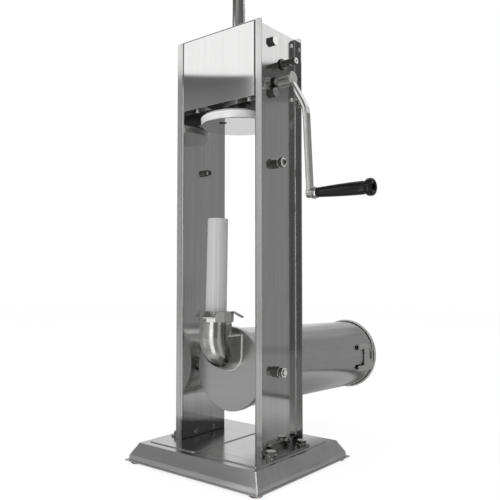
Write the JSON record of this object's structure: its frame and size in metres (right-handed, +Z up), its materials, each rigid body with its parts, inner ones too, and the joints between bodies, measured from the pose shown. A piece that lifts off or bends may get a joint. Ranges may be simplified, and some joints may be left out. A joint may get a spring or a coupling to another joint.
{
  "type": "vertical sausage stuffer",
  "caption": "Hand-cranked vertical sausage stuffer with rack-driven press plate, closed gear head and tip-back steel cylinder.",
  "frame": {"origin": "on the table plane under the middle of the base, midway between the two uprights", "axes": "+X to the crank side, +Y to the back where the cylinder lies, +Z up along the rack"},
  "size_m": [0.4677, 0.5744, 1.305],
  "materials": {
    "brushed_stainless": "satin brushed",
    "polished_stainless": "polished",
    "bright_fasteners": "bright",
    "plain_steel": "machined",
    "gear_steel": "machined, oiled",
    "bronze": "machined",
    "white_nylon": "satin",
    "black_plastic": "gloss",
    "clear_white_plastic": "translucent satin",
    "foot_rubber": "matt",
    "seal_silicone": "satin",
    "valve_plastic": "gloss"
  },
  "bodies": {
    "frame": {"base_tray": "brushed_stainless", "base_feet": "foot_rubber", "foot_screws": "plain_steel", "left_upright": "brushed_stainless", "right_upright": "brushed_stainless", "foot_brackets": "brushed_stainless", "foot_bolts": "bright_fasteners", "foot_nuts": "plain_steel", "bracket_bolts": "plain_steel", "bracket_nuts": "bright_fasteners", "front_panel": "brushed_stainless", "rear_panel": "brushed_stainless", "top_cover": "brushed_stainless", "panel_screws": "bright_fasteners", "cover_screws": "bright_fasteners", "head_floor": "plain_steel", "head_ceiling": "plain_steel", "head_bolts": "bright_fasteners", "head_nuts": "plain_steel", "lower_rack_bush": "bronze", "upper_rack_bush": "bronze", "gear_plate": "plain_steel", "gear_plate_screws": "plain_steel", "drive_shaft_bushes": "bronze", "crank_shaft_bushes": "bronze", "pivot_studs": "plain_steel", "pivot_nuts": "bright_fasteners", "pivot_washers": "white_nylon", "lock_studs": "plain_steel", "lock_nuts": "bright_fasteners"},
    "rack": {"rack_bar": "polished_stainless", "press_plate": "polished_stainless", "press_seal": "seal_silicone", "rack_pin": "plain_steel", "valve_body": "polished_stainless"},
    "valve": {"valve_pin": "valve_plastic"},
    "drive": {"drive_shaft": "plain_steel", "rack_pinion": "gear_steel", "large_gear": "gear_steel", "drive_keys": "gear_steel", "drive_clips": "plain_steel"},
    "crank": {"crank_shaft": "plain_steel", "input_pinion": "gear_steel", "input_key": "gear_steel", "crank_clip": "plain_steel", "crank_hub": "polished_stainless", "hub_screw": "plain_steel", "crank_arm": "polished_stainless", "handle_spindle": "plain_steel", "handle_ferrule": "polished_stainless"},
    "grip": {"handle_grip": "black_plastic"},
    "cylinder": {"cylinder_tube": "brushed_stainless", "cylinder_rim": "polished_stainless", "bottom_cap": "brushed_stainless", "pivot_brackets": "polished_stainless", "lock_brackets": "brushed_stainless", "outlet_elbow": "polished_stainless", "elbow_collar": "polished_stainless", "filling_nozzle": "clear_white_plastic"},
    "nut": {"wing_nut": "polished_stainless"}
  },
  "joints": [
    {"name": "rack_slide", "type": "slide", "parent": "frame", "child": "rack", "axis": [0, 0, -1], "range_m": [0, 0.185]},
    {"name": "valve_lift", "type": "slide", "parent": "rack", "child": "valve", "axis": [0, 0, 1], "range_m": [0, 0.003]},
    {"name": "drive_turn", "type": "hinge", "parent": "frame", "child": "drive", "pos_m": [0, 0.019, 0.77701], "axis": [1, 0, 0], "range_deg": [0, 848.5]},
    {"name": "crank_turn", "type": "hinge", "parent": "frame", "child": "crank", "pos_m": [0, -0.00442, 0.73511], "axis": [-1, 0, 0], "range_deg": [0, 2545]},
    {"name": "grip_turn", "type": "hinge", "parent": "crank", "child": "grip", "pos_m": [0.24, -0.00442, 0.51511], "axis": [1, 0, 0], "continuous": true},
    {"name": "cylinder_tilt", "type": "hinge", "parent": "frame", "child": "cylinder", "pos_m": [0, 0, 0.183], "axis": [1, 0, 0], "range_deg": [0, 91.5]},
    {"name": "wing_nut_turn", "type": "hinge", "parent": "cylinder", "child": "nut", "pos_m": [0, -0.06686, 0.28479], "axis": [0, 0.0262, 0.9997], "continuous": true}
  ],
  "couplings": [
    {"joint": "drive_turn", "follows": "rack_slide", "rad_per_m": 80},
    {"joint": "crank_turn", "follows": "rack_slide", "rad_per_m": 240}
  ]
}
